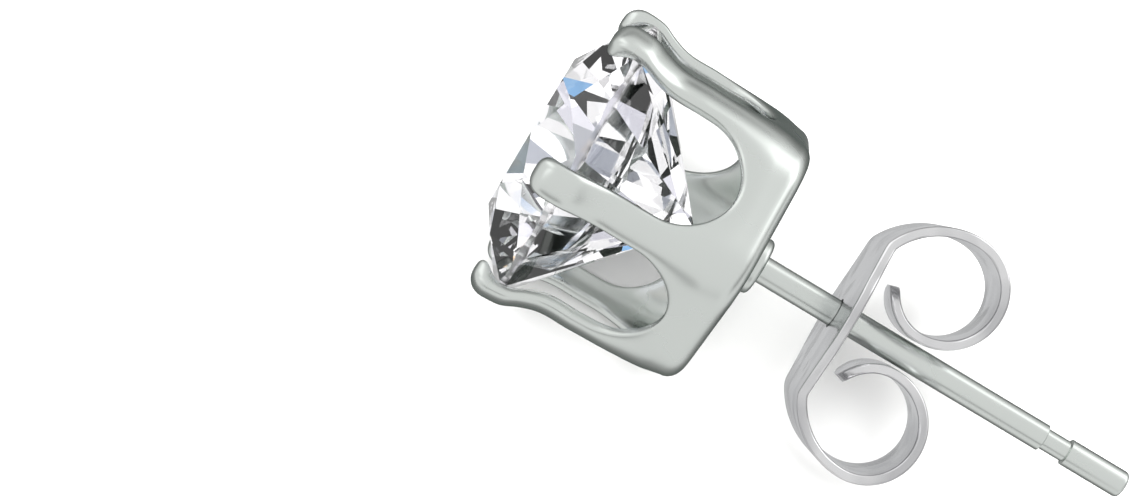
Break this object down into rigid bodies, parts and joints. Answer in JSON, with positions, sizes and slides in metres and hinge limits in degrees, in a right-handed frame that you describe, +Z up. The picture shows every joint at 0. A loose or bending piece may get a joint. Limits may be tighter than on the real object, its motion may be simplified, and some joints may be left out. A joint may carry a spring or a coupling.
{
  "type": "stud earring",
  "caption": "Stud earring: a round brilliant stone held in a claw basket, with a post behind it and a sliding butterfly clutch.",
  "frame": {"origin": "centre of the bottom of the bounding box, on the surface that the earring lies on", "axes": "+X level, along the post from the stone to the post's tip, +Z up from the surface; the post's tip points about 5 degrees down"},
  "size_m": [0.0184, 0.009, 0.008],
  "materials": {
    "rhodium_plated_silver": "polished rhodium plate on cast silver",
    "cut_zirconia": "polished flat facets",
    "clutch_silver": "polished silver strip"
  },
  "bodies": {
    "stud": {"basket_setting_and_post": "rhodium_plated_silver", "stone": "cut_zirconia"},
    "clutch": {"butterfly_clutch": "clutch_silver"}
  },
  "joints": [
    {"name": "clutch_slide", "type": "slide", "parent": "stud", "child": "clutch", "axis": [0.9958, 0, -0.0917], "range_m": [-0.00213, 0.0095]}
  ]
}
